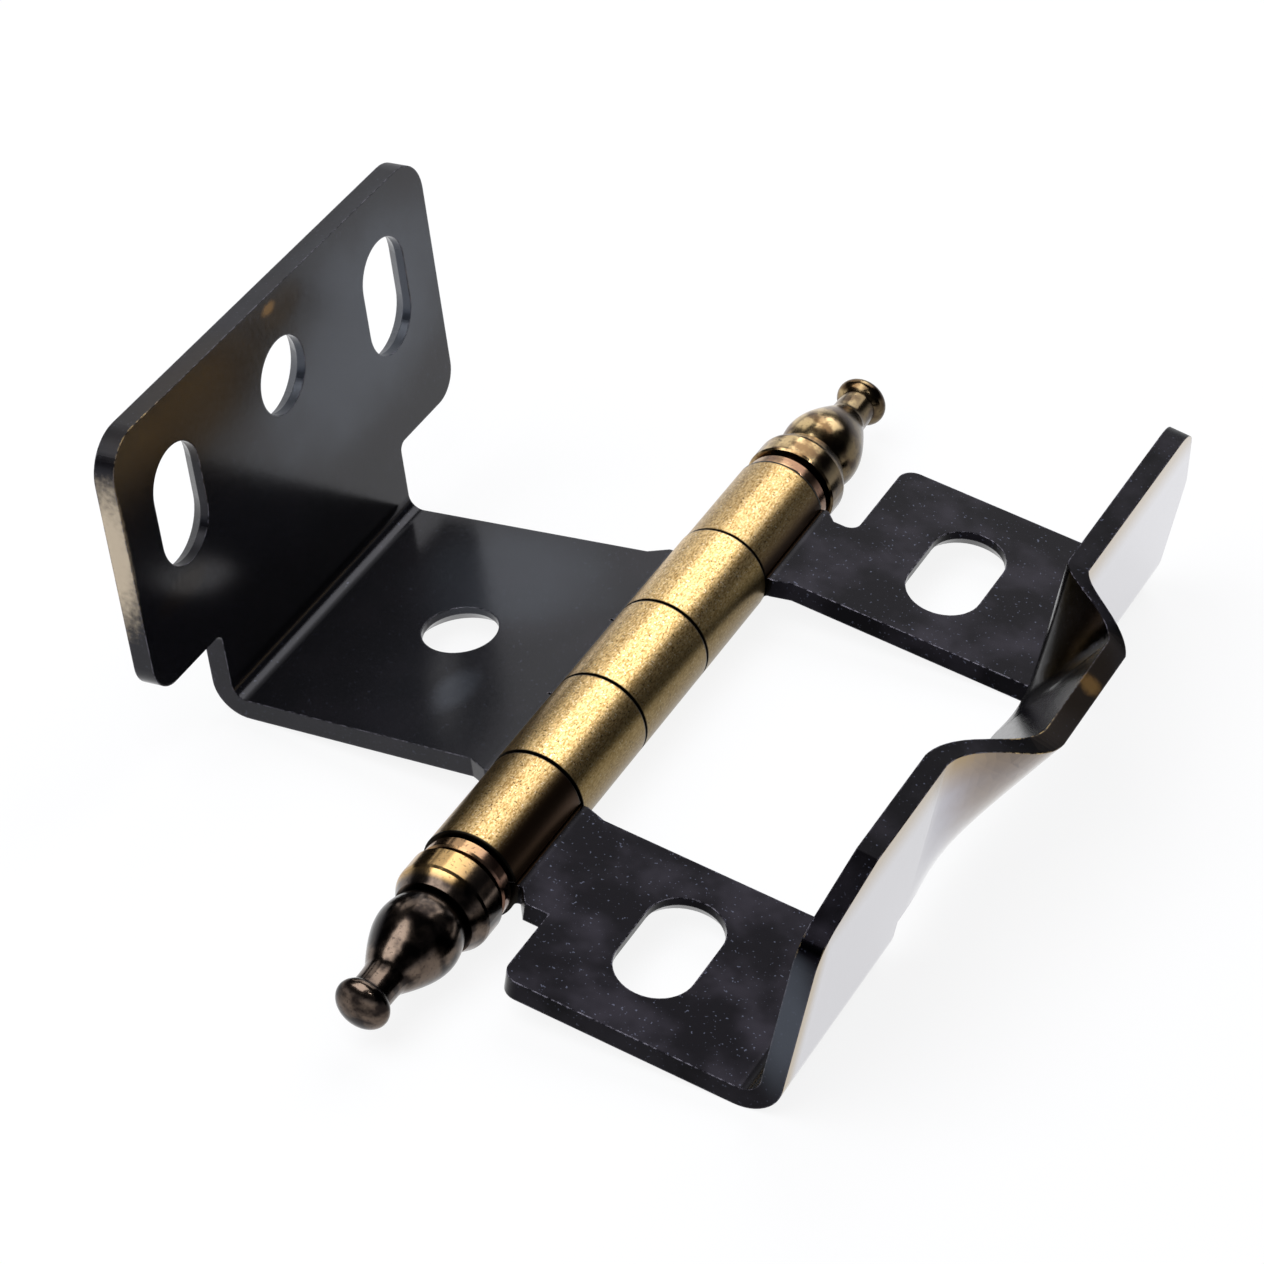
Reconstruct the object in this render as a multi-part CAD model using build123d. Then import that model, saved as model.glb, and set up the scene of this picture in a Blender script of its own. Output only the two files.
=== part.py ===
# Wraparound cabinet hinge: two bent sheet leaves with rolled knuckles, a pin and two turned finials.
# Millimetres. The pin runs along +Y through the origin and +Z is up. Each leaf is drawn level, with its
# plate reaching out from the barrel, and is then tilted down to the angle at which it rests on a table.
import os
from math import acos, atan2, cos, degrees, hypot, radians, sin

from build123d import *

# sheet, pin and rolled barrel
sheet = 1.4
pin_d = 3.5
run_clear = 0.05          # radial play of the pin in the frame leaf's knuckles
plate_low = -0.45         # underside of each plate from the pin axis; folded, one plate lies between the arms
fold_r = 0.5              # inside radius of the reverse bend between plate and roll
close_deg = 19.0          # where the rolled sheet ends, above the plate's line
knuckle_count = 5
knuckle_pitch = 8.24
knuckle_slit = 0.2        # width of the slits between neighbouring knuckles

# frame leaf: plate between the barrel and the upright flange
frame_depth = 19.05       # board thickness that fits between barrel and flange
frame_bend_r = 1.0
frame_neck_half = 11.1
frame_plate_half = 11.6
frame_relief = 1.3        # length of the short flare from the plate's edge out to the knuckle's edge
frame_wide_half = 18.3
frame_shoulder = 4.95     # height of the shoulders above the plate's top
frame_rise = 23.0         # height of the flange above the plate's top
frame_top_r = 2.8
frame_shoulder_r = 2.0
frame_neck_r = 0.6
frame_slot_y = 12.4
frame_slot_rise = 15.5
frame_slot_w = 5.05
frame_slot_h = 8.2
frame_eye_rise = 17.1
frame_eye_r = 2.55
plate_eye_x = 12.2
plate_eye_r = 2.47

# door leaf: two arms joined by a long low flange
door_depth = 19.3         # from the barrel to the flange, where the flange's plane meets the plate's top
door_bend_r = 1.4
door_lean = 2.75          # degrees that the flange leans outward
door_rise = 14.9
door_half = 27.55
arm_inner = 12.9          # inner edge of each arm, measured from the middle
arm_free_x = 5.8          # free edge of each arm beside the barrel
arm_free_r = 1.1
notch_near = 21.65        # the near arm's neck is a little wide and the far one a little narrow
notch_far = 19.9
notch_r = 0.8
neck_flare = 0.7          # length over which a neck meets its knuckle
arm_slot_x = 13.0
arm_slot_y = 20.0
arm_slot_w = 5.0
arm_slot_h = 8.7
near_fall = 6.5           # the flange's top edge falls towards its near end
near_drop = 1.9
near_top_r = 2.5
far_cut_run = 3.0         # the far top corner is cut off long and rounded
far_cut_drop = 6.6
far_cut_r = 3.0

# the middle strip of the door leaf's flange, twisted outward about a line near its lower edge
strip_foot = 2.6          # its lower edge above the plate's top
strip_lean = 24.5         # degrees of extra lean
strip_pivot = 1.2         # height of the turning line above the lower edge
twist_near = (-12.0, -4.6)
twist_far = (4.5, 8.2)
twist_steps = (0.0, 0.25, 0.5, 0.75, 1.0)

# punched holes: a straight land on the side seen from above and a wider mouth on the screw side
hole_land = 0.6
mouth_deg = 33.0
sink_land = 0.5
sink_deg = 41.0

# finials: distance from the knuckle's end and radius
finial_bore_depth = 6.2
collar_r = 2.95
collar_start = 0.15
collar_end = 1.1
groove_r = 2.45
groove_end = 1.55
band_r = 3.15
band_end = 3.3
cone_end = 4.35
cone_r = 2.6
bulb_foot_r = 2.2
bulb_mid = 6.2
bulb_r = 2.7
bulb_fall = 8.1
bulb_fall_r = 2.25
neck_start = 9.6
neck_start_r = 1.55
neck_end_r = 1.28
button_r = 1.75
button_mid = 12.5
button_rise = 0.95        # from the button's widest ring to the finial's end
pip_r = 0.25              # tiny flat left on the end by the parting tool
turned_edge = 0.12        # small bevel on the collar's and band's edges

pin_r = pin_d / 2
frame_bore_r = pin_r + run_clear
barrel_r = frame_bore_r + sheet
plate_top = plate_low + sheet
barrel_half = knuckle_count * knuckle_pitch / 2
inner_seam = knuckle_pitch / 2
outer_seam = inner_seam + knuckle_pitch
frame_reach = barrel_r + frame_depth
door_reach = barrel_r + door_depth
finial_length = button_mid + button_rise


def bent_sheet(centre, inside_r, start, turn, y_from, y_to):
    """Sheet bent round a line along Y; angles in degrees from +X towards +Z, seen towards +Y."""
    outside_r = inside_r + sheet
    outline = [CenterArc(centre, inside_r, start, turn), CenterArc(centre, outside_r, start, turn)]
    sides = [Line(outline[0] @ end, outline[1] @ end) for end in (0, 1)]
    section = make_face(outline + sides)
    return extrude(Plane((0, y_from, 0), x_dir=(1, 0, 0), z_dir=(0, -1, 0)) * section, amount=y_from - y_to)


def rolled_knuckle(bore_r, y_from, y_to):
    """One length of barrel: a small reverse bend under the plate, then the roll round the pin."""
    fold_z = plate_low - fold_r
    join = degrees(atan2(fold_z, fold_x(bore_r)))
    fold = bent_sheet((fold_x(bore_r), fold_z), fold_r, QUARTER, HALF + join - QUARTER, y_from, y_to)
    roll = bent_sheet((0, 0), bore_r, close_deg, TURN - close_deg + join, y_from, y_to)
    return fold + roll


def fold_x(bore_r):
    """How far from the pin the plate ends and the reverse bend starts."""
    reach = bore_r + fold_r + sheet
    drop = plate_low - fold_r
    return (reach * reach - drop * drop) ** 0.5


def plate_from(points):
    """A flat piece of the level plate from its outline in x and y."""
    outline = make_face(Polyline(*points, close=True))
    return extrude(Plane.XY.offset(plate_low) * outline, amount=sheet)


def punched(plane, shape, land, flare_deg):
    """The cutter of one punched hole: straight through the land, then widening to the far face."""
    straight = extrude(plane * shape, amount=land)
    mouth = extrude(plane.offset(land) * shape, amount=sheet - land, taper=-flare_deg)
    lead = extrude(plane.offset(-sheet) * shape, amount=sheet)
    return straight + mouth + lead


def frame_leaf_level():
    """The frame leaf drawn on the +X side: knuckles, waisted plate, bend and upright flange."""
    start_x = fold_x(frame_bore_r)
    bend_x = frame_reach - frame_bend_r
    edge = outer_seam - knuckle_slit / 2
    side = [(start_x, edge), (start_x + frame_relief, frame_plate_half), (bend_x, frame_neck_half)]
    leaf = plate_from(side + [(x, -y) for x, y in reversed(side)])
    for middle in (-knuckle_pitch, 0, knuckle_pitch):
        ends = [middle + end * (knuckle_pitch - knuckle_slit) / 2 for end in (-1, 1)]
        leaf += rolled_knuckle(frame_bore_r, *ends)
    bend_z = plate_top + frame_bend_r
    leaf += bent_sheet((bend_x, bend_z), frame_bend_r, -QUARTER, QUARTER, -frame_neck_half, frame_neck_half)

    upright = Plane((frame_reach, 0, plate_top), x_dir=(0, 1, 0), z_dir=(1, 0, 0))
    half = [(frame_neck_half, frame_bend_r), (frame_neck_half, frame_shoulder),
            (frame_wide_half, frame_shoulder), (frame_wide_half, frame_rise)]
    outline = make_face(Polyline(*half, *[(-y, z) for y, z in reversed(half)], close=True))
    corners = outline.vertices().group_by(Axis.Y)
    outline = fillet(corners[-1], frame_top_r)
    shoulders = outline.vertices().filter_by(lambda v: abs(v.Y - frame_shoulder) < FINE)
    outline = fillet(shoulders.filter_by(lambda v: abs(v.X) > frame_neck_half + FINE), frame_shoulder_r)
    shoulders = outline.vertices().filter_by(lambda v: abs(abs(v.X) - frame_neck_half) < FINE)
    outline = fillet(shoulders.filter_by(lambda v: v.Y > frame_bend_r + FINE), frame_neck_r)
    leaf += extrude(upright * outline, amount=sheet)

    slot = Rot(0, 0, QUARTER) * SlotOverall(frame_slot_h, frame_slot_w)
    for slot_y in (-frame_slot_y, frame_slot_y):
        leaf -= punched(upright, Pos(slot_y, frame_slot_rise) * slot, hole_land, mouth_deg)
    leaf -= punched(upright, Pos(0, frame_eye_rise) * Circle(frame_eye_r), hole_land, mouth_deg)
    leaf -= punched(plate_down, Pos(plate_eye_x, 0) * Circle(plate_eye_r), sink_land, sink_deg)
    return leaf


def door_flange(upright):
    """The long flange without its middle: its top falls at the near end and is cut away at the far one."""
    foot = door_bend_rise
    near = [(-door_half, foot), (-door_half, door_rise - near_drop), (near_fall - door_half, door_rise)]
    far = [(door_half - far_cut_run, door_rise), (door_half, door_rise - far_cut_drop), (door_half, foot)]
    inner = [(arm_inner, foot), (arm_inner, strip_foot), (-arm_inner, strip_foot), (-arm_inner, foot)]
    outline = make_face(Polyline(*near, *far, *inner, close=True))
    tops = [v for v in outline.vertices() if abs(v.X) > arm_inner and v.Y > foot + FINE]
    outline = fillet([v for v in tops if abs(v.X + door_half) < FINE], near_top_r)
    tops = [v for v in outline.vertices() if v.X > arm_inner and v.Y > foot + FINE]
    outline = fillet(tops, far_cut_r)
    span = twist_far[1] - twist_near[0]
    middle = Pos((twist_near[0] + twist_far[1]) / 2, door_rise / 2) * Rectangle(span, 2 * door_rise)
    return extrude(upright * (outline - middle), amount=sheet)


def strip_section(upright, y, share):
    """The strip's cross-section at one place, leaned by a share of its full lean."""
    height = door_rise - strip_foot
    box = Rectangle(sheet, height, align=(Align.MIN, Align.MIN))
    leaned = Pos(0, strip_foot + strip_pivot) * Rot(0, 0, -share * strip_lean) * Pos(0, -strip_pivot) * box
    across = Plane(upright.from_local_coords((y, 0, 0)), x_dir=upright.z_dir, z_dir=(0, -1, 0))
    return across * leaned


def smooth_share(step):
    """An even ease from 0 to 1."""
    return step * step * (3 - 2 * step)


def bridge_strip(upright):
    """The twisted middle of the flange: a twist, a straight leaning run and a twist back."""
    near = [strip_section(upright, twist_near[0] + s * (twist_near[1] - twist_near[0]), smooth_share(s))
            for s in twist_steps]
    far = [strip_section(upright, twist_far[1] + s * (twist_far[0] - twist_far[1]), smooth_share(s))
           for s in twist_steps]
    straight = extrude(near[-1], amount=twist_near[1] - twist_far[0])
    return loft(near) + straight + loft(far)


def door_leaf_level():
    """The door leaf: two arms with a knuckle each, joined by the long flange with its twisted strip."""
    start_x = fold_x(pin_r)
    upright = Plane((door_reach, 0, plate_top), x_dir=(0, 1, 0),
                    z_dir=(cos(radians(door_lean)), 0, -sin(radians(door_lean))))
    knuckle_in = outer_seam + knuckle_slit / 2
    leaf = None
    for hand, notch in ((-1, notch_near), (1, notch_far)):
        outline = [(start_x, knuckle_in), (start_x + frame_relief, arm_inner), (door_bend_x, arm_inner),
                   (door_bend_x, door_half), (arm_free_x, door_half), (arm_free_x, notch),
                   (start_x + neck_flare, notch), (start_x, barrel_half)]
        arm = make_face(Polyline(*[(x, hand * y) for x, y in outline], close=True))
        free = [v for v in arm.vertices() if abs(v.X - arm_free_x) < FINE and abs(v.Y) > door_half - FINE]
        arm = fillet(free, arm_free_r)
        if hand > 0:
            arm = fillet([v for v in arm.vertices() if hypot(v.X - arm_free_x, v.Y - notch) < FINE], notch_r)
        arm = extrude(Plane.XY.offset(plate_low) * arm, amount=sheet)
        spans = sorted((hand * knuckle_in, hand * barrel_half))
        arm += rolled_knuckle(pin_r, *spans)
        spans = sorted((hand * arm_inner, hand * door_half))
        bend_centre = (door_bend_x, plate_top + door_bend_r)
        arm += bent_sheet(bend_centre, door_bend_r, -QUARTER, QUARTER - door_lean, *spans)
        slot = Pos(arm_slot_x, hand * arm_slot_y) * Rot(0, 0, QUARTER) * SlotOverall(arm_slot_h, arm_slot_w)
        arm -= punched(plate_down, mirror(slot, Plane.XZ), hole_land, mouth_deg)
        leaf = arm if leaf is None else leaf + arm
    return leaf + door_flange(upright) + bridge_strip(upright)


def finial():
    """One turned finial: collar, groove, band with a coned end, bulb, neck and button, bored for the pin."""
    rings = [(0, 0), (groove_r, 0), (groove_r, collar_start), (collar_r, collar_start),
             (collar_r, collar_end), (groove_r, collar_end), (groove_r, groove_end),
             (band_r, groove_end), (band_r, band_end), (cone_r, cone_end), (bulb_foot_r, cone_end)]
    lower = Polyline(*rings)
    meet = degrees(acos(neck_end_r / button_r))
    tip = degrees(acos(pip_r / button_r))
    button = EllipticalCenterArc((0, button_mid), button_r, button_rise, -meet, arc_size=meet + tip)
    bulb = Spline((bulb_foot_r, cone_end), (bulb_r, bulb_mid), (bulb_fall_r, bulb_fall),
                  (neck_start_r, neck_start), button @ 0, tangents=[(1, 2), (0, 1)])
    axis = Polyline(button @ 1, (0, (button @ 1).Y), (0, 0))
    profile = make_face([lower, bulb, button, axis])
    turned = [v for v in profile.vertices() if v.X > collar_r - FINE and v.Y < band_end + FINE]
    body = revolve(chamfer(turned, turned_edge), Axis.Y)
    return body - along_y(pin_r, 0, finial_bore_depth)


def along_y(radius, y_from, y_to):
    """A plain round bar along Y."""
    return extrude(Plane((0, y_from, 0), z_dir=(0, 1, 0)) * Circle(radius), amount=y_to - y_from)


def resting_droop(bend_x, bend_r):
    """Tilt at which a leaf's outer bend and the barrel lie on the same level surface."""
    rise = plate_top + bend_r
    low = bend_r + sheet - barrel_r
    return degrees(acos(low / hypot(rise, bend_x)) - atan2(bend_x, rise))


QUARTER = 90.0
HALF = 2 * QUARTER
TURN = 4 * QUARTER
FINE = 0.001
plate_down = Plane((0, 0, plate_top), x_dir=(1, 0, 0), z_dir=(0, 0, -1))
door_bend_rise = door_bend_r * (1 - sin(radians(door_lean))) / cos(radians(door_lean))
door_bend_x = door_reach - door_bend_rise

frame_droop = resting_droop(frame_reach - frame_bend_r, frame_bend_r)
door_droop = resting_droop(door_bend_x, door_bend_r)
pin_half = barrel_half + finial_bore_depth
far_finial = Pos(0, barrel_half, 0) * finial()

nodes = {
    "frame_leaf": Rot(0, -frame_droop, 0) * mirror(frame_leaf_level(), Plane.YZ),
    "door_leaf": Rot(0, door_droop, 0) * door_leaf_level(),
    "hinge_pin": along_y(pin_r, -pin_half, pin_half),
    "finial_far": far_finial,
    "finial_near": mirror(far_finial, Plane.XZ),
}

os.makedirs("parts", exist_ok=True)
for name, solid in nodes.items():
    export_step(solid, "parts/" + name + ".step")
    print(name, len(solid.solids()), "solid", round(solid.volume, 1), "mm3")
print("droop", round(frame_droop, 3), round(door_droop, 3))
print("length over the finials", round(2 * (barrel_half + finial_length), 2))
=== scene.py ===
"""Wraparound cabinet hinge: finishes, light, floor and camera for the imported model."""
import logging
import math
from dataclasses import dataclass
from enum import Enum
from typing import Dict, List, Optional, Tuple, Union

import bpy
from mathutils import Matrix, Vector


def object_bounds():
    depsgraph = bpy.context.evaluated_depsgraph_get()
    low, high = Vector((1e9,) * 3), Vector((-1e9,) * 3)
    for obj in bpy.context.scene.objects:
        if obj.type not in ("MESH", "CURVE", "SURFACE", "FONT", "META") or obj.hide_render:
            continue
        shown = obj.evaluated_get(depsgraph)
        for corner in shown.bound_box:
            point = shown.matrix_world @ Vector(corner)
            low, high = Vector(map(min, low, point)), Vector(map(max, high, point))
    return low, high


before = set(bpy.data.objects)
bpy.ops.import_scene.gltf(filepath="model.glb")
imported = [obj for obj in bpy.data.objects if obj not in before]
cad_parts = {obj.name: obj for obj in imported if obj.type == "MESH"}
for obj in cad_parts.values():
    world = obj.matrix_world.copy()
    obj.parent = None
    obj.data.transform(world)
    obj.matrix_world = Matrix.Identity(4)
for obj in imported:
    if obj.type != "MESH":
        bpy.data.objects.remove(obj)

LOG = logging.getLogger("hinge_scene")
CAD_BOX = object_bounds()
MM = 0.001

Colour = Tuple[float, float, float, float]
Place = Tuple[float, float, float]
Span = Tuple[float, float]
Key = Union[int, str]
Socket = bpy.types.NodeSocket
Value = Union[float, Socket]
Tint = Union[str, Socket]

WHITE = "FFFFFF"
# a Mix node's colour sockets go by number, since its other kinds use the same names
MIX_FIRST = 6
MIX_SECOND = 7
MIX_RESULT = 2


class Metal(Enum):
    """Which finish a CAD node wears."""

    LEAF = "bronzed leaf"
    TURNED = "turned brass"
    PIN = "drawn pin"


NODE_METALS: Dict[str, Metal] = {
    "frame_leaf": Metal.LEAF,
    "door_leaf": Metal.LEAF,
    "hinge_pin": Metal.PIN,
    "finial_near": Metal.TURNED,
    "finial_far": Metal.TURNED,
}


def linear(hex_colour: str) -> Colour:
    """Turn an sRGB hex colour into the linear values that shaders use.

    Args:
        hex_colour: Six hex digits, such as "8A6B3F".

    Returns:
        Red, green, blue and alpha.
    """
    parts = [int(hex_colour[i:i + 2], 16) / 255 for i in (0, 2, 4)]
    low = [p / 12.92 if p <= 0.04045 else ((p + 0.055) / 1.055) ** 2.4 for p in parts]
    return (low[0], low[1], low[2], 1.0)


@dataclass(frozen=True)
class Grain:
    """Cloudy grains: their size in millimetres and, where they make marks, the span that fades these in."""

    size_mm: float
    span: Span = (0.0, 1.0)
    share: float = 1.0
    detail: float = 3.0
    stretch_y: float = 1.0


class Shader:
    """A small builder for the node tree of a material or a world."""

    def __init__(self, owner: Union[bpy.types.Material, bpy.types.World]) -> None:
        """Empty the owner's tree and start it with the object's own coordinates.

        Args:
            owner: The material or world.
        """
        owner.use_nodes = True
        self.owner = owner
        self.tree = owner.node_tree
        self.tree.nodes.clear()
        self.coordinates = self.add("ShaderNodeTexCoord", output="Object")

    def add(self, kind: str, inputs: Optional[Dict[Key, object]] = None, output: Key = 0,
            **settings: object) -> Optional[Socket]:
        """Add one node, set it up and wire what it is fed by.

        Args:
            kind: The node's type.
            inputs: Socket name or number to a constant or another node's socket.
            output: Name or number of the socket that is handed back.
            **settings: Properties of the node itself.

        Returns:
            That socket, or None where the node ends the tree.
        """
        node = self.tree.nodes.new(kind)
        for key, value in settings.items():
            setattr(node, key, value)
        for key, value in (inputs or {}).items():
            if isinstance(value, Socket):
                self.tree.links.new(value, node.inputs[key])
            else:
                node.inputs[key].default_value = value
        return node.outputs[output] if node.outputs else None

    def mask(self, *parts: Union[Value, Tuple[Socket, Span]]) -> Socket:
        """Narrow a mask step by step: what all its parts mark, times their shares.

        Args:
            *parts: Each a share, a mask, or a value with the span over which it fades from 0 to 1.

        Returns:
            The mask's socket.
        """
        product = None
        for part in parts:
            if isinstance(part, tuple):
                value, (start, end) = part
                inputs = {"Value": value, "From Min": start, "From Max": end}
                part = self.add("ShaderNodeMapRange", inputs, interpolation_type="SMOOTHSTEP")
            if product is None:
                product = part
            else:
                product = self.add("ShaderNodeMath", {0: product, 1: part}, operation="MULTIPLY")
        return product

    def paint(self, ground: Tint, *layers: Tuple[Value, Tint]) -> Socket:
        """Lay colours over each other.

        Args:
            ground: The lowest colour, in hex or as a socket.
            *layers: Each layer's mask and colour, from the lowest to the topmost.

        Returns:
            The painted colour's socket.
        """
        tone = ground
        for mask, colour in layers:
            first, second = (c if isinstance(c, Socket) else linear(c) for c in (tone, colour))
            inputs = {0: mask, MIX_FIRST: first, MIX_SECOND: second}
            tone = self.add("ShaderNodeMix", inputs, MIX_RESULT, data_type="RGBA")
        return tone

    def grains(self, grain: Grain) -> Socket:
        """Fill object space with cloudy grains of a real size.

        Args:
            grain: Their size and shape.

        Returns:
            The pattern's socket.
        """
        scale = (1, 1 / grain.stretch_y, 1)
        shrink = self.add("ShaderNodeMapping", {"Vector": self.coordinates, "Scale": scale})
        inputs = {"Vector": shrink, "Scale": 1 / (grain.size_mm * MM), "Detail": grain.detail}
        return self.add("ShaderNodeTexNoise", inputs)

    def specks(self, grain: Grain) -> Socket:
        """Scatter marks where the grains are strongest."""
        return self.mask((self.grains(grain), grain.span), grain.share)

    def axes(self) -> List[Socket]:
        """Split the object coordinates into x, y and z, in millimetres."""
        scaled = self.add("ShaderNodeVectorMath", {0: self.coordinates, "Scale": 1 / MM}, operation="SCALE")
        return list(self.add("ShaderNodeSeparateXYZ", {0: scaled}).node.outputs)

    def from_pin(self) -> Socket:
        """Measure the distance from the pin's axis, in millimetres."""
        across = {0: self.coordinates, 1: (1 / MM, 0.0, 1 / MM)}
        flat = self.add("ShaderNodeVectorMath", across, operation="MULTIPLY")
        return self.add("ShaderNodeVectorMath", {0: flat}, "Value", operation="LENGTH")

    def facing(self) -> List[Socket]:
        """Split the direction that the flat surface faces into x, y and z."""
        normal = self.add("ShaderNodeNewGeometry", output="True Normal")
        return list(self.add("ShaderNodeSeparateXYZ", {0: normal}).node.outputs)

    def edge_mask(self, radius_mm: float, rays: int, turn: Span) -> Socket:
        """Find sharp edges by comparing the surface's direction with a rounded one.

        Args:
            radius_mm: Width of the rounding in millimetres.
            rays: How many rays look for the edge.
            turn: The likeness of the two directions where the mark starts and where it is full.

        Returns:
            1 on the edges and 0 on flat faces.
        """
        rounded = self.add("ShaderNodeBevel", {"Radius": radius_mm * MM}, samples=rays)
        flat = self.add("ShaderNodeNewGeometry", output="True Normal")
        alike = self.add("ShaderNodeVectorMath", {0: rounded, 1: flat}, "Value", operation="DOT_PRODUCT")
        return self.mask((alike, turn))

    def finish(self, surface: Socket) -> bpy.types.Material:
        """Wire the surface to the output and hand back the material."""
        self.add("ShaderNodeOutputMaterial", {"Surface": surface})
        return self.owner


@dataclass(frozen=True)
class Smudge:
    """A cloudy mark on the sheet: where it lies in millimetres, how far it reaches and its strength."""

    place: Place
    reach: Place
    share: float


@dataclass(frozen=True)
class LeafFinish:
    """Colours and grain of the bronzed sheet and its rubbed barrel; places and widths in millimetres."""

    # the sheet's colours
    # the frame leaf's colour, lighter as a painted sheen, then the door arms' colour, darker as a painted
    # shade against the key lamp's reflection
    dark: str = "1B1B20"
    arm_painted_shade: str = "0B0A0D"
    bloom: str = "242228"
    # grey-blue painted sheen and painted reflection
    sheen_grey: str = "43474F"
    brown: str = "2A2119"
    # painted highlight: amber glints on small dents
    amber_glint: str = "8C6C40"
    tan: str = "CCBCA4"
    # painted reflection: bronze on the strip's curved outer face
    bronze_reflection: str = "6E5222"
    # grey on the sharp edges: partly wear, partly painted edge highlight
    edge: str = "62606A"
    # painted glints on edges and bends
    glint_gold: str = "D8B878"
    fleck: str = "5C6072"
    # painted sheen: a silvery tone on the long flange's outer face, so that it mirrors the floor near-white
    sheen_silver: str = "A09EAA"
    cream: str = "A08654"

    # the barrel's colours
    brass: str = "E6C68C"
    brass_shade: str = "A27F47"
    glint: str = "FBE9C4"
    pit: str = "5C4726"
    # painted shade: olive on the barrel's side towards the door and the table
    olive_shade: str = "5C4E2A"
    # umber: the door leaf knuckles' own browner tone, and painted shade on their side towards the arms
    umber: str = "38281A"
    seam: str = "15120D"

    # gloss
    roughness: float = 0.12
    roughness_play: float = 0.10
    sheared_roughness: float = 0.28
    brass_roughness: float = 0.32
    patina_metal: float = 0.6
    edge_round: float = 0.14
    edge_rays: int = 4
    bump_share: float = 0.3
    bump_height: float = 0.006

    # grain
    clouds: Grain = Grain(4.0)
    fine: Grain = Grain(0.35, detail=4.0)
    flecks: Grain = Grain(0.2, (0.68, 0.76), share=0.3, detail=1.0)
    brushing: Grain = Grain(0.10, (0.30, 0.70), stretch_y=3.0)
    pits: Grain = Grain(0.16, (0.63, 0.72), detail=1.0)
    glints: Grain = Grain(0.13, (0.62, 0.72), detail=1.0)
    bloom_span: Span = (0.40, 0.72)
    bloom_share: float = 0.6
    # patchy marks along the sharp edges: partly wear, partly painted edge highlight
    edge_mark_width: float = 0.16
    edge_mark_rays: int = 6
    edge_mark_turn: Span = (0.99, 0.84)
    edge_mark_span: Span = (0.40, 0.62)

    # across the pin, where the frame leaf's lighter tone, a painted sheen, gives way to the arms' darker
    # one, a painted shade that keeps the key lamp's reflection low
    sides: Span = (-1.0, 1.0)

    # the long flange's outer face, silvery as a painted sheen, its cream rims, and the sheared tops of both
    # flanges
    outward: Span = (0.5, 0.9)
    flange_x: Span = (20.5, 21.5)
    rim_end: Span = (-25.6, -27.3)
    rim_top: Span = (8.8, 12.4)
    rim_top_share: float = 0.9
    rim_bare: float = 0.75
    upward: Span = (0.5, 0.8)
    sheared_z: Span = (8.0, 9.0)

    # the barrel's skin and seams, and its side that faces the door and the table, where shade is painted
    barrel_skin: Span = (3.34, 3.22)
    seam_pitch: float = 8.24
    seam_soft: float = 0.05
    seam_width: Span = (0.22, 0.10)
    side_slope: float = -0.57
    near_knuckle: Span = (1.0, -1.0)
    near_side: Span = (-1.0, 0.9)
    far_knuckle: Span = (-1.0, 1.0)
    far_side: Span = (0.6, 2.6)
    olive_shade_side: Span = (0.2, 2.2)
    olive_shade_share: float = 0.8
    umber_share: float = 0.22

    # smudges: brown marks and a tan worn edge, among painted sheens, reflections and glints
    fray: float = 0.5
    fade: Span = (1.35, 0.6)
    # painted sheen and painted reflection: grey-blue haze on the frame flange, on the frame plate with a
    # streak below its hole, and on the long flange's near end
    painted_sheens: Tuple[Smudge, ...] = (
        Smudge((-24.2, 9.0, 13.0), (3.0, 15.0, 9.0), 1.0),
        Smudge((-12.0, 6.0, -0.6), (9.0, 7.0, 2.0), 0.5),
        Smudge((-9.3, -5.8, -0.3), (1.6, 2.8, 1.0), 0.6),
        Smudge((24.2, -27.7, 4.5), (3.0, 0.5, 7.5), 1.0),
    )
    browns: Tuple[Smudge, ...] = (
        Smudge((-25.0, -10.0, 18.5), (3.0, 9.0, 4.0), 0.9),
        Smudge((-24.9, 1.0, 19.4), (2.0, 2.8, 1.7), 0.9),
        Smudge((-23.6, -13.7, 8.2), (2.0, 3.4, 1.3), 0.5),
        Smudge((29.5, 0.8, 10.6), (2.6, 4.6, 1.4), 0.8),
    )
    # painted amber glints on a dent in the frame flange's rim and on the strip's top
    amber_glints: Tuple[Smudge, ...] = (
        Smudge((-25.0, -0.3, 20.0), (1.2, 0.9, 0.5), 0.8),
        Smudge((29.9, 0.6, 10.5), (1.0, 0.9, 0.8), 0.9),
    )
    tans: Tuple[Smudge, ...] = (Smudge((-25.4, -18.4, 13.0), (2.6, 0.5, 6.5), 0.8),)
    # painted glints: bright marks on the frame flange's rim, the long flange's near corner and the strip's
    # rims and bend
    painted_glints: Tuple[Smudge, ...] = (
        Smudge((-25.0, -15.0, 19.5), (1.8, 3.5, 3.4), 1.0),
        Smudge((25.2, -27.2, 10.2), (1.2, 0.8, 1.0), 1.0),
        Smudge((29.0, -6.0, 11.0), (2.6, 3.5, 1.6), 0.9),
        Smudge((27.0, 0.6, 7.2), (1.6, 1.2, 2.0), 0.9),
    )
    # painted reflection: bronze graded across the strip's curved outer face
    strip: Tuple[Smudge, ...] = (Smudge((28.0, -4.5, 7.0), (5.0, 8.0, 12.0), 0.9),)


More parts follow.
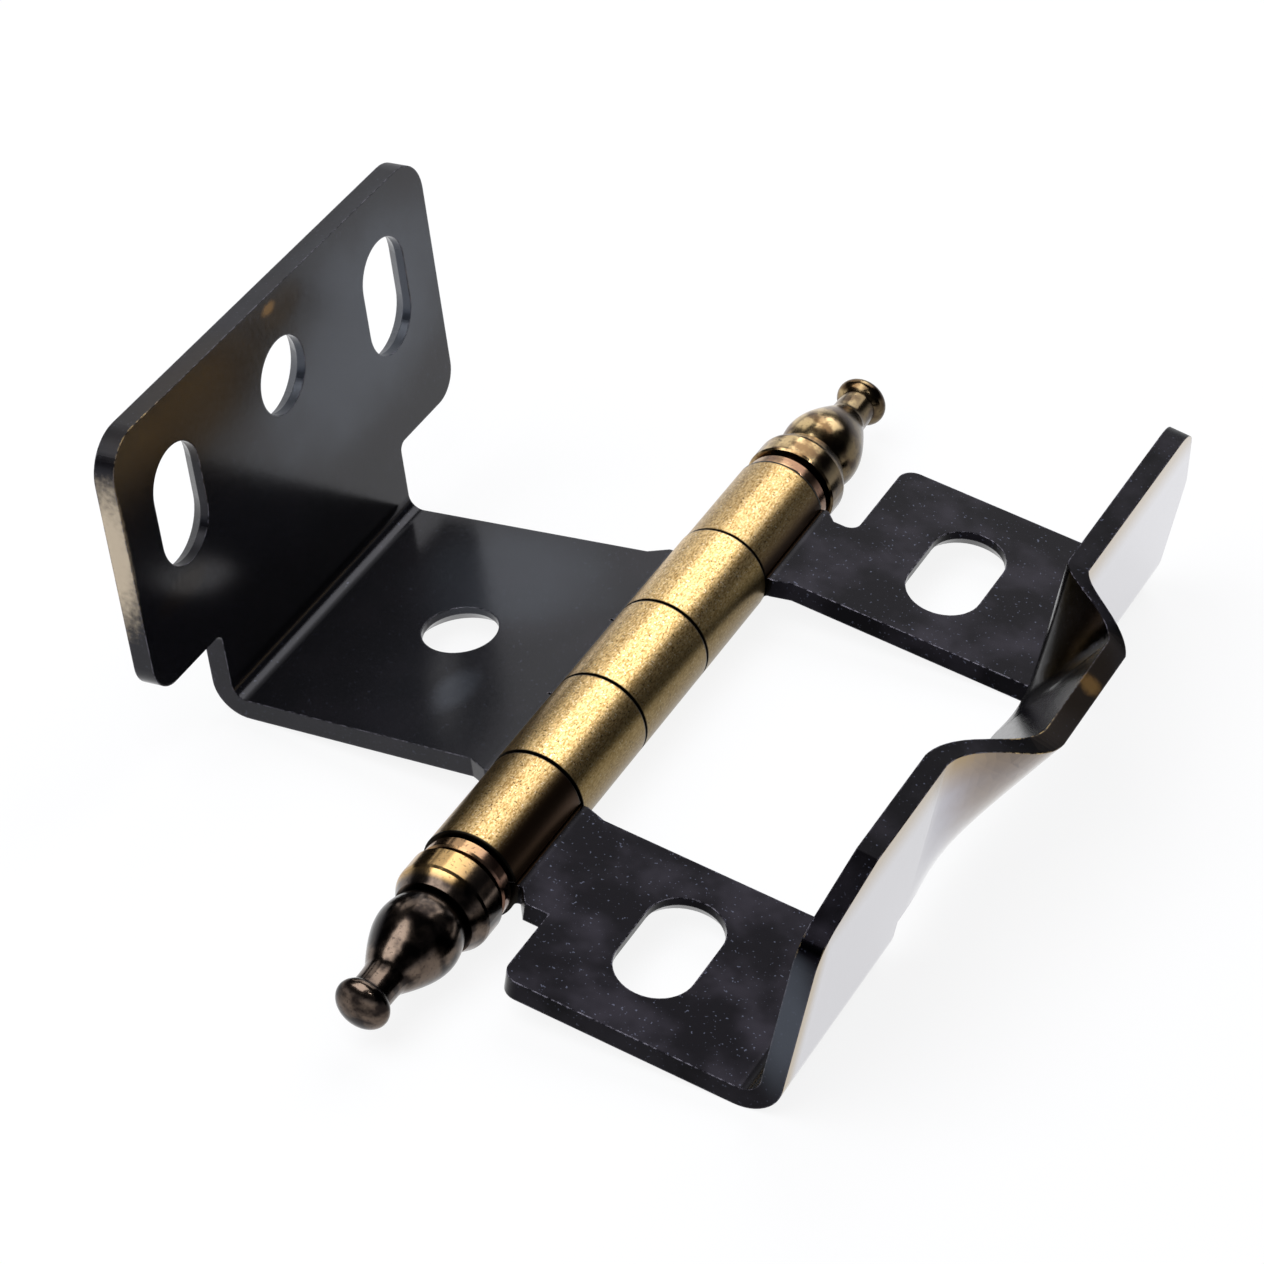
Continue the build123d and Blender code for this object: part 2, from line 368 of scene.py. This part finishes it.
class LeafMaterial:
    """Sheet brass, darkened almost black and lacquered, with the barrel rubbed back to brass.

    Made from object-space noise, cloudy marks at measured places and the distance from the
    pin's axis; to the eye it is a glossy near-black sheet with brown smudges, fine flecks and
    grey edges that are partly wear and partly painted highlight, with painted sheens, glints and
    reflections, a silvery outer face on the long flange as a painted sheen, and a speckled brass
    barrel with painted shade on its sides.
    """

    def __init__(self, finish: LeafFinish) -> None:
        """Start the material and the patterns that its parts share.

        Args:
            finish: Colours and grain.
        """
        self.finish = finish
        self.shader = Shader(bpy.data.materials.new("bronzed_brass_sheet"))
        self.x, self.y, self.z = self.shader.axes()
        self.clouds = self.shader.grains(finish.clouds)
        self.fine = self.shader.grains(finish.fine)

    def marks(self, smudges: Tuple[Smudge, ...], ragged: Socket) -> Value:
        """Lay several smudges over each other, with ragged rims.

        Args:
            smudges: The marks.
            ragged: Noise that frays their rims.

        Returns:
            The marks' strength.
        """
        add = self.shader.add
        total: Value = 0.0
        for mark in smudges:
            scale = tuple(1 / (reach * MM) for reach in mark.reach)
            shift = tuple(-place / reach for place, reach in zip(mark.place, mark.reach))
            inputs = {"Vector": self.shader.coordinates, "Scale": scale, "Location": shift}
            local = add("ShaderNodeMapping", inputs)
            far = add("ShaderNodeVectorMath", {0: local}, "Value", operation="LENGTH")
            far = add("ShaderNodeMath", {0: ragged, 1: self.finish.fray, 2: far}, operation="MULTIPLY_ADD")
            inside = self.shader.mask((far, self.finish.fade), mark.share)
            total = add("ShaderNodeMath", {0: total, 1: inside}, operation="MAXIMUM")
        return total

    def outer_face(self) -> Socket:
        """Mark the outer face of the long flange, given a silvery tone as a painted sheen so that it
        mirrors the floor near-white.
        """
        across = self.shader.facing()[0]
        return self.shader.mask((across, self.finish.outward), (self.x, self.finish.flange_x))

    def rim(self) -> Socket:
        """Mark the long flange's near and upper rims, which are given a cream tone and less coat."""
        end = self.shader.mask((self.y, self.finish.rim_end))
        top = self.shader.mask((self.z, self.finish.rim_top), self.finish.rim_top_share)
        return self.shader.add("ShaderNodeMath", {0: end, 1: top}, operation="MAXIMUM")

    def sheet(self, outer: Socket) -> Socket:
        """Paint the bronzed sheet.

        Args:
            outer: Mask of the long flange's outer face.

        Returns:
            The colour.
        """
        look = self.finish
        s = self.shader
        sharp_edges = s.edge_mask(look.edge_mark_width, look.edge_mark_rays, look.edge_mark_turn)
        edge = s.mask(sharp_edges, (self.fine, look.edge_mark_span))
        return s.paint(
            look.dark,
            # painted shade: the door leaf's arms darker than the frame leaf
            (s.mask((self.x, look.sides)), look.arm_painted_shade),
            (s.mask((self.clouds, look.bloom_span), look.bloom_share), look.bloom),
            # painted sheen and painted reflection
            (self.marks(look.painted_sheens, self.clouds), look.sheen_grey),
            (s.specks(look.flecks), look.fleck),
            # painted sheen on the long flange's outer face
            (outer, look.sheen_silver),
            (s.mask(self.rim(), outer), look.cream),
            # painted reflection on the strip's outer face
            (s.mask(self.marks(look.strip, self.clouds), outer), look.bronze_reflection),
            (self.marks(look.browns, self.clouds), look.brown),
            # painted amber glints
            (self.marks(look.amber_glints, self.fine), look.amber_glint),
            (self.marks(look.tans, self.fine), look.tan),
            # grey edges: partly wear, partly painted highlight
            (edge, look.edge),
            # painted glints along the edges
            (s.mask(self.marks(look.painted_glints, self.fine), edge), look.glint_gold),
        )

    def barrel(self) -> Socket:
        """Paint the rubbed barrel, dark in the seams and browner on the door leaf's two knuckles, with
        painted shade on those knuckles' side towards the arms and an olive painted shade on the side
        towards the door and the table.

        Returns:
            The colour.
        """
        look = self.finish
        s = self.shader
        inner_seam = look.seam_pitch / 2
        outer_seam = inner_seam + look.seam_pitch
        along = s.add("ShaderNodeMath", {0: self.y}, operation="ABSOLUTE")
        outer = s.mask((along, (outer_seam - look.seam_soft, outer_seam + look.seam_soft)))
        side = s.add("ShaderNodeMath", {0: self.z, 1: look.side_slope, 2: self.x}, operation="MULTIPLY_ADD")
        # painted shade on the door leaf's outer knuckles, on their side towards the arms
        near = s.mask((side, look.near_side), (self.y, look.near_knuckle))
        far = s.mask((side, look.far_side), (self.y, look.far_knuckle))
        shaded = s.add("ShaderNodeMath", {0: near, 1: far}, operation="ADD")
        inputs = {0: shaded, 1: 1 - look.umber_share, 2: look.umber_share}
        brown_tone_and_shade = s.add("ShaderNodeMath", inputs, operation="MULTIPLY_ADD")
        shifted = s.add("ShaderNodeMath", {0: self.y, 1: inner_seam}, operation="SUBTRACT")
        to_seam = s.add("ShaderNodeMath", {0: shifted, 1: inner_seam}, operation="PINGPONG")
        return s.paint(
            look.brass_shade,
            (s.specks(look.brushing), look.brass),
            (s.specks(look.pits), look.pit),
            (s.specks(look.glints), look.glint),
            # painted shade on the barrel's side towards the door and the table
            (s.mask((side, look.olive_shade_side), look.olive_shade_share), look.olive_shade),
            # browner tone on the door knuckles, with painted shade on their side towards the arms
            (s.mask(outer, brown_tone_and_shade), look.umber),
            (s.mask((to_seam, look.seam_width)), look.seam),
        )

    def gloss(self, rubbed: Socket) -> Socket:
        """Set how rough the surface is: a glossy sheet, duller sheared tops and a brushed barrel.

        Args:
            rubbed: Mask of the barrel.

        Returns:
            The roughness.
        """
        look = self.finish
        s = self.shader
        sheared = s.mask((s.facing()[2], look.upward), (self.z, look.sheared_z))
        inputs = {0: self.fine, 1: look.roughness_play, 2: look.roughness}
        smooth = s.add("ShaderNodeMath", inputs, operation="MULTIPLY_ADD")
        inputs = {0: sheared, 1: look.sheared_roughness, 2: smooth}
        dull = s.add("ShaderNodeMath", inputs, operation="MULTIPLY_ADD")
        brushed = s.mask(rubbed, look.brass_roughness)
        return s.add("ShaderNodeMath", {0: dull, 1: brushed}, operation="MAXIMUM")

    def build(self) -> bpy.types.Material:
        """Make the material.

        Returns:
            The material.
        """
        look = self.finish
        s = self.shader
        rubbed = s.mask((s.from_pin(), look.barrel_skin))
        outer = self.outer_face()
        arms = s.mask((self.x, look.sides))
        bare = s.add("ShaderNodeMath", {0: rubbed, 1: arms}, operation="MAXIMUM")
        inputs = {0: bare, 1: 1 - look.patina_metal, 2: look.patina_metal}
        metal = s.add("ShaderNodeMath", inputs, operation="MULTIPLY_ADD")
        inputs = {0: 1.0, 1: s.mask(self.rim(), look.rim_bare)}
        lacquer = s.add("ShaderNodeMath", inputs, operation="SUBTRACT")
        soft = s.add("ShaderNodeBevel", {"Radius": look.edge_round * MM}, samples=look.edge_rays)
        bumpy = s.add("ShaderNodeBump", {"Strength": look.bump_share, "Distance": look.bump_height * MM,
                                         "Height": self.fine, "Normal": soft})
        return s.finish(s.add("ShaderNodeBsdfPrincipled", {
            "Base Color": s.paint(self.sheet(outer), (rubbed, self.barrel())),
            "Metallic": metal,
            "Roughness": self.gloss(rubbed),
            "Normal": bumpy,
            "Coat Weight": s.mask(outer, lacquer),
            "Coat Roughness": look.roughness,
        }))


@dataclass(frozen=True)
class TurnedFinish:
    """Colours and rings of the two finials; places and widths in millimetres."""

    far_brass: str = "C8AE80"
    far_shade: str = "6E563A"
    near_brass: str = "63564C"
    near_shade: str = "221D1B"
    # painted highlight: brass on the near tip's band, on its lit side only
    band_highlight: str = "C4A06A"
    rosy: str = "8E6A58"
    groove: str = "14110F"
    roughness: float = 0.19
    bump_share: float = 0.25
    bump_height: float = 0.006
    worn: Grain = Grain(1.3, (0.38, 0.62))
    speck: Grain = Grain(0.2, (0.58, 0.68), share=0.5)

    # from the near tip to the far one, and from the unlit side to the lit one and back
    ends: Span = (-1.0, 1.0)
    lit_side: Span = (0.4, 2.8)
    unlit_side: Span = (2.8, 0.4)
    unlit_share: float = 0.8
    band_share: float = 0.85
    rosy_share: float = 0.5

    # where the rings end along the pin, and how deep the grooves lie
    band_end: Span = (24.6, 24.0)
    collar_end: Span = (21.9, 21.7)
    groove_end: Span = (25.3, 25.0)
    groove_rim: Span = (2.65, 2.40)


class TurnedMaterial:
    """Turned brass, bronzed and polished; the near tip almost black, the far one tan.

    Made from noise, the side of the pin it lies on and rings along the pin's axis; to the eye
    they are glossy lathe-turned tips with dark grooves and small bright points, a brass band on
    the near tip's lit side that is a painted highlight, and painted shade on the far tip's unlit side.
    """

    def __init__(self, finish: TurnedFinish) -> None:
        """Keep the colours and rings."""
        self.finish = finish

    def build(self) -> bpy.types.Material:
        """Make the material.

        Returns:
            The material.
        """
        look = self.finish
        s = Shader(bpy.data.materials.new("turned_antique_brass"))
        x, y, z = s.axes()
        along = s.add("ShaderNodeMath", {0: y}, operation="ABSOLUTE")
        side = s.add("ShaderNodeMath", {0: z, 1: x}, operation="SUBTRACT")
        speck = s.grains(look.speck)
        worn = s.specks(look.worn)
        # painted highlight on the near tip's band, lit side only
        band_highlight = s.mask((along, look.band_end), (side, look.lit_side), look.band_share)
        unlit = s.mask((side, look.unlit_side), look.unlit_share)
        near = s.paint(look.near_shade, (worn, look.near_brass), (band_highlight, look.band_highlight))
        far = s.paint(look.far_shade, (worn, look.far_brass), (unlit, look.near_shade))
        tone = s.paint(
            near,
            (s.mask((y, look.ends)), far),
            (s.mask((along, look.collar_end), look.rosy_share), look.rosy),
            (s.mask((speck, look.speck.span), look.speck.share), look.near_shade),
            (s.mask((s.from_pin(), look.groove_rim), (along, look.groove_end)), look.groove),
        )
        bumpy = s.add("ShaderNodeBump", {"Strength": look.bump_share, "Distance": look.bump_height * MM,
                                         "Height": speck})
        return s.finish(s.add("ShaderNodeBsdfPrincipled", {
            "Base Color": tone,
            "Metallic": 1.0,
            "Roughness": look.roughness,
            "Normal": bumpy,
        }))


@dataclass(frozen=True)
class PinFinish:
    """Colours and grain of the pin."""

    dark: str = "4A4640"
    light: str = "6C675E"
    streaks: Grain = Grain(0.1, stretch_y=20.0)
    roughness: float = 0.35


class PinMaterial:
    """Drawn steel wire, made from noise stretched along it; plain grey to the eye, seen only in slits."""

    def __init__(self, finish: PinFinish) -> None:
        """Keep the colours and grain."""
        self.finish = finish

    def build(self) -> bpy.types.Material:
        """Make the material.

        Returns:
            The material.
        """
        look = self.finish
        s = Shader(bpy.data.materials.new("drawn_steel"))
        return s.finish(s.add("ShaderNodeBsdfPrincipled", {
            "Base Color": s.paint(look.dark, (s.grains(look.streaks), look.light)),
            "Metallic": 1.0,
            "Roughness": look.roughness,
        }))


class HingeDressing:
    """Puts the finishes on the CAD nodes."""

    def __init__(self) -> None:
        """Make each finish once."""
        self.materials: Dict[Metal, bpy.types.Material] = {
            Metal.LEAF: LeafMaterial(LeafFinish()).build(),
            Metal.TURNED: TurnedMaterial(TurnedFinish()).build(),
            Metal.PIN: PinMaterial(PinFinish()).build(),
        }

    def build(self) -> List[str]:
        """Assign the materials.

        Returns:
            Names of the dressed nodes.
        """
        for name, metal in NODE_METALS.items():
            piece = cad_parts[name]
            for slot in piece.material_slots:
                slot.material = self.materials[metal]
            if not piece.material_slots:
                piece.data.materials.append(self.materials[metal])
        return list(NODE_METALS)


@dataclass(frozen=True)
class Lamp:
    """One soft square lamp aimed at the hinge: its place and side in metres, its power in watts."""

    name: str
    place: Place
    size: float
    power: float

    def build(self) -> None:
        """Hang the lamp."""
        data = bpy.data.lights.new(self.name, "AREA")
        data.size = self.size
        data.energy = self.power
        lamp = bpy.data.objects.new(self.name, data)
        bpy.context.collection.objects.link(lamp)
        lamp.location = self.place
        lamp.rotation_euler = (-Vector(self.place)).to_track_quat("-Z", "Y").to_euler()


@dataclass(frozen=True)
class Studio:
    """Light, floor and world."""

    floor_half: float = 1.5
    floor_colour: str = "F3F5FB"
    floor_glow: float = 0.88
    ceiling: str = "2C2E34"
    horizon: str = "D8DCE4"
    horizon_height: Span = (0.02, 0.30)
    lamps: Tuple[Lamp, ...] = (
        Lamp("key", (0.0, 0.37, 0.38), size=0.40, power=1.5),
        Lamp("top", (-0.16, -0.22, 0.50), size=0.5, power=3.2),
        Lamp("side", (-0.33, 0.36, 0.27), size=0.36, power=0.45),
        Lamp("flash", (0.11, -0.20, 0.22), size=0.012, power=0.05),
    )

    def build(self) -> None:
        """Make the floor, the world and the lamps."""
        lowest = CAD_BOX[0].z
        bpy.ops.object.select_all(action="DESELECT")
        bpy.ops.mesh.primitive_plane_add(size=2 * self.floor_half, location=(0, 0, lowest))
        floor = bpy.context.object
        floor.name = "pale_floor"
        floor.data.materials.append(self.paper())
        self.world()
        for lamp in self.lamps:
            lamp.build()

    def paper(self) -> bpy.types.Material:
        """A smooth white paper sheet that stays white to the camera and in the metal.

        Made from plain diffuse paper, mostly covered by an even white for camera and glossy
        rays; to the eye it is white with faint, soft, cool shadows.

        Returns:
            The material.
        """
        s = Shader(bpy.data.materials.new("white_paper"))
        diffuse = s.add("ShaderNodeBsdfDiffuse", {"Color": linear(self.floor_colour)})
        white = s.add("ShaderNodeEmission", {"Color": linear(WHITE), "Strength": 1.0})
        camera = s.add("ShaderNodeLightPath", output="Is Camera Ray")
        glossy = s.add("ShaderNodeLightPath", output="Is Glossy Ray")
        seen = s.add("ShaderNodeMath", {0: camera, 1: glossy}, operation="ADD", use_clamp=True)
        share = s.mask(seen, self.floor_glow)
        return s.finish(s.add("ShaderNodeMixShader", {0: share, 1: diffuse, 2: white}))

    def world(self) -> None:
        """White to the camera; to everything else a dark ceiling above a bright horizon."""
        world = bpy.data.worlds.new("studio")
        bpy.context.scene.world = world
        s = Shader(world)
        outlook = s.add("ShaderNodeTexCoord", output="Generated")
        up = s.add("ShaderNodeSeparateXYZ", {0: outlook}, "Z")
        seen = s.add("ShaderNodeLightPath", output="Is Camera Ray")
        room = s.paint(self.horizon, (s.mask((up, self.horizon_height)), self.ceiling), (seen, WHITE))
        s.add("ShaderNodeOutputWorld", {"Surface": s.add("ShaderNodeBackground", {"Color": room})})


@dataclass(frozen=True)
class PhotoCamera:
    """The camera that took the photograph; places in metres, lens and sensor in millimetres."""

    place: Place = (0.104235, -0.199222, 0.184124)
    target: Place = (-0.000832, 0.001636, 0.002288)
    roll_deg: float = 0.097
    lens: float = 133.32
    sensor: float = 36.0
    clip: Span = (0.01, 10.0)

    def build(self) -> None:
        """Make it the scene's camera."""
        data = bpy.data.cameras.new("photo")
        data.lens = self.lens
        data.sensor_width = self.sensor
        data.clip_start, data.clip_end = self.clip
        camera = bpy.data.objects.new("photo", data)
        bpy.context.collection.objects.link(camera)
        look = Vector(self.target) - Vector(self.place)
        turn = look.to_track_quat("-Z", "Y").to_matrix().to_4x4()
        roll = Matrix.Rotation(math.radians(self.roll_deg), 4, "Z")
        camera.matrix_world = Matrix.Translation(self.place) @ turn @ roll
        bpy.context.scene.camera = camera
        bpy.context.scene.view_settings.view_transform = "Standard"


def main() -> None:
    """Build the camera, the studio and the finishes, and report what was made."""
    logging.basicConfig(level=logging.INFO, format="%(name)s: %(message)s")
    PhotoCamera().build()
    LOG.info("camera placed")
    Studio().build()
    LOG.info("studio built")
    for name in HingeDressing().build():
        LOG.info("dressed %s", name)


if __name__ == "__main__":
    main()
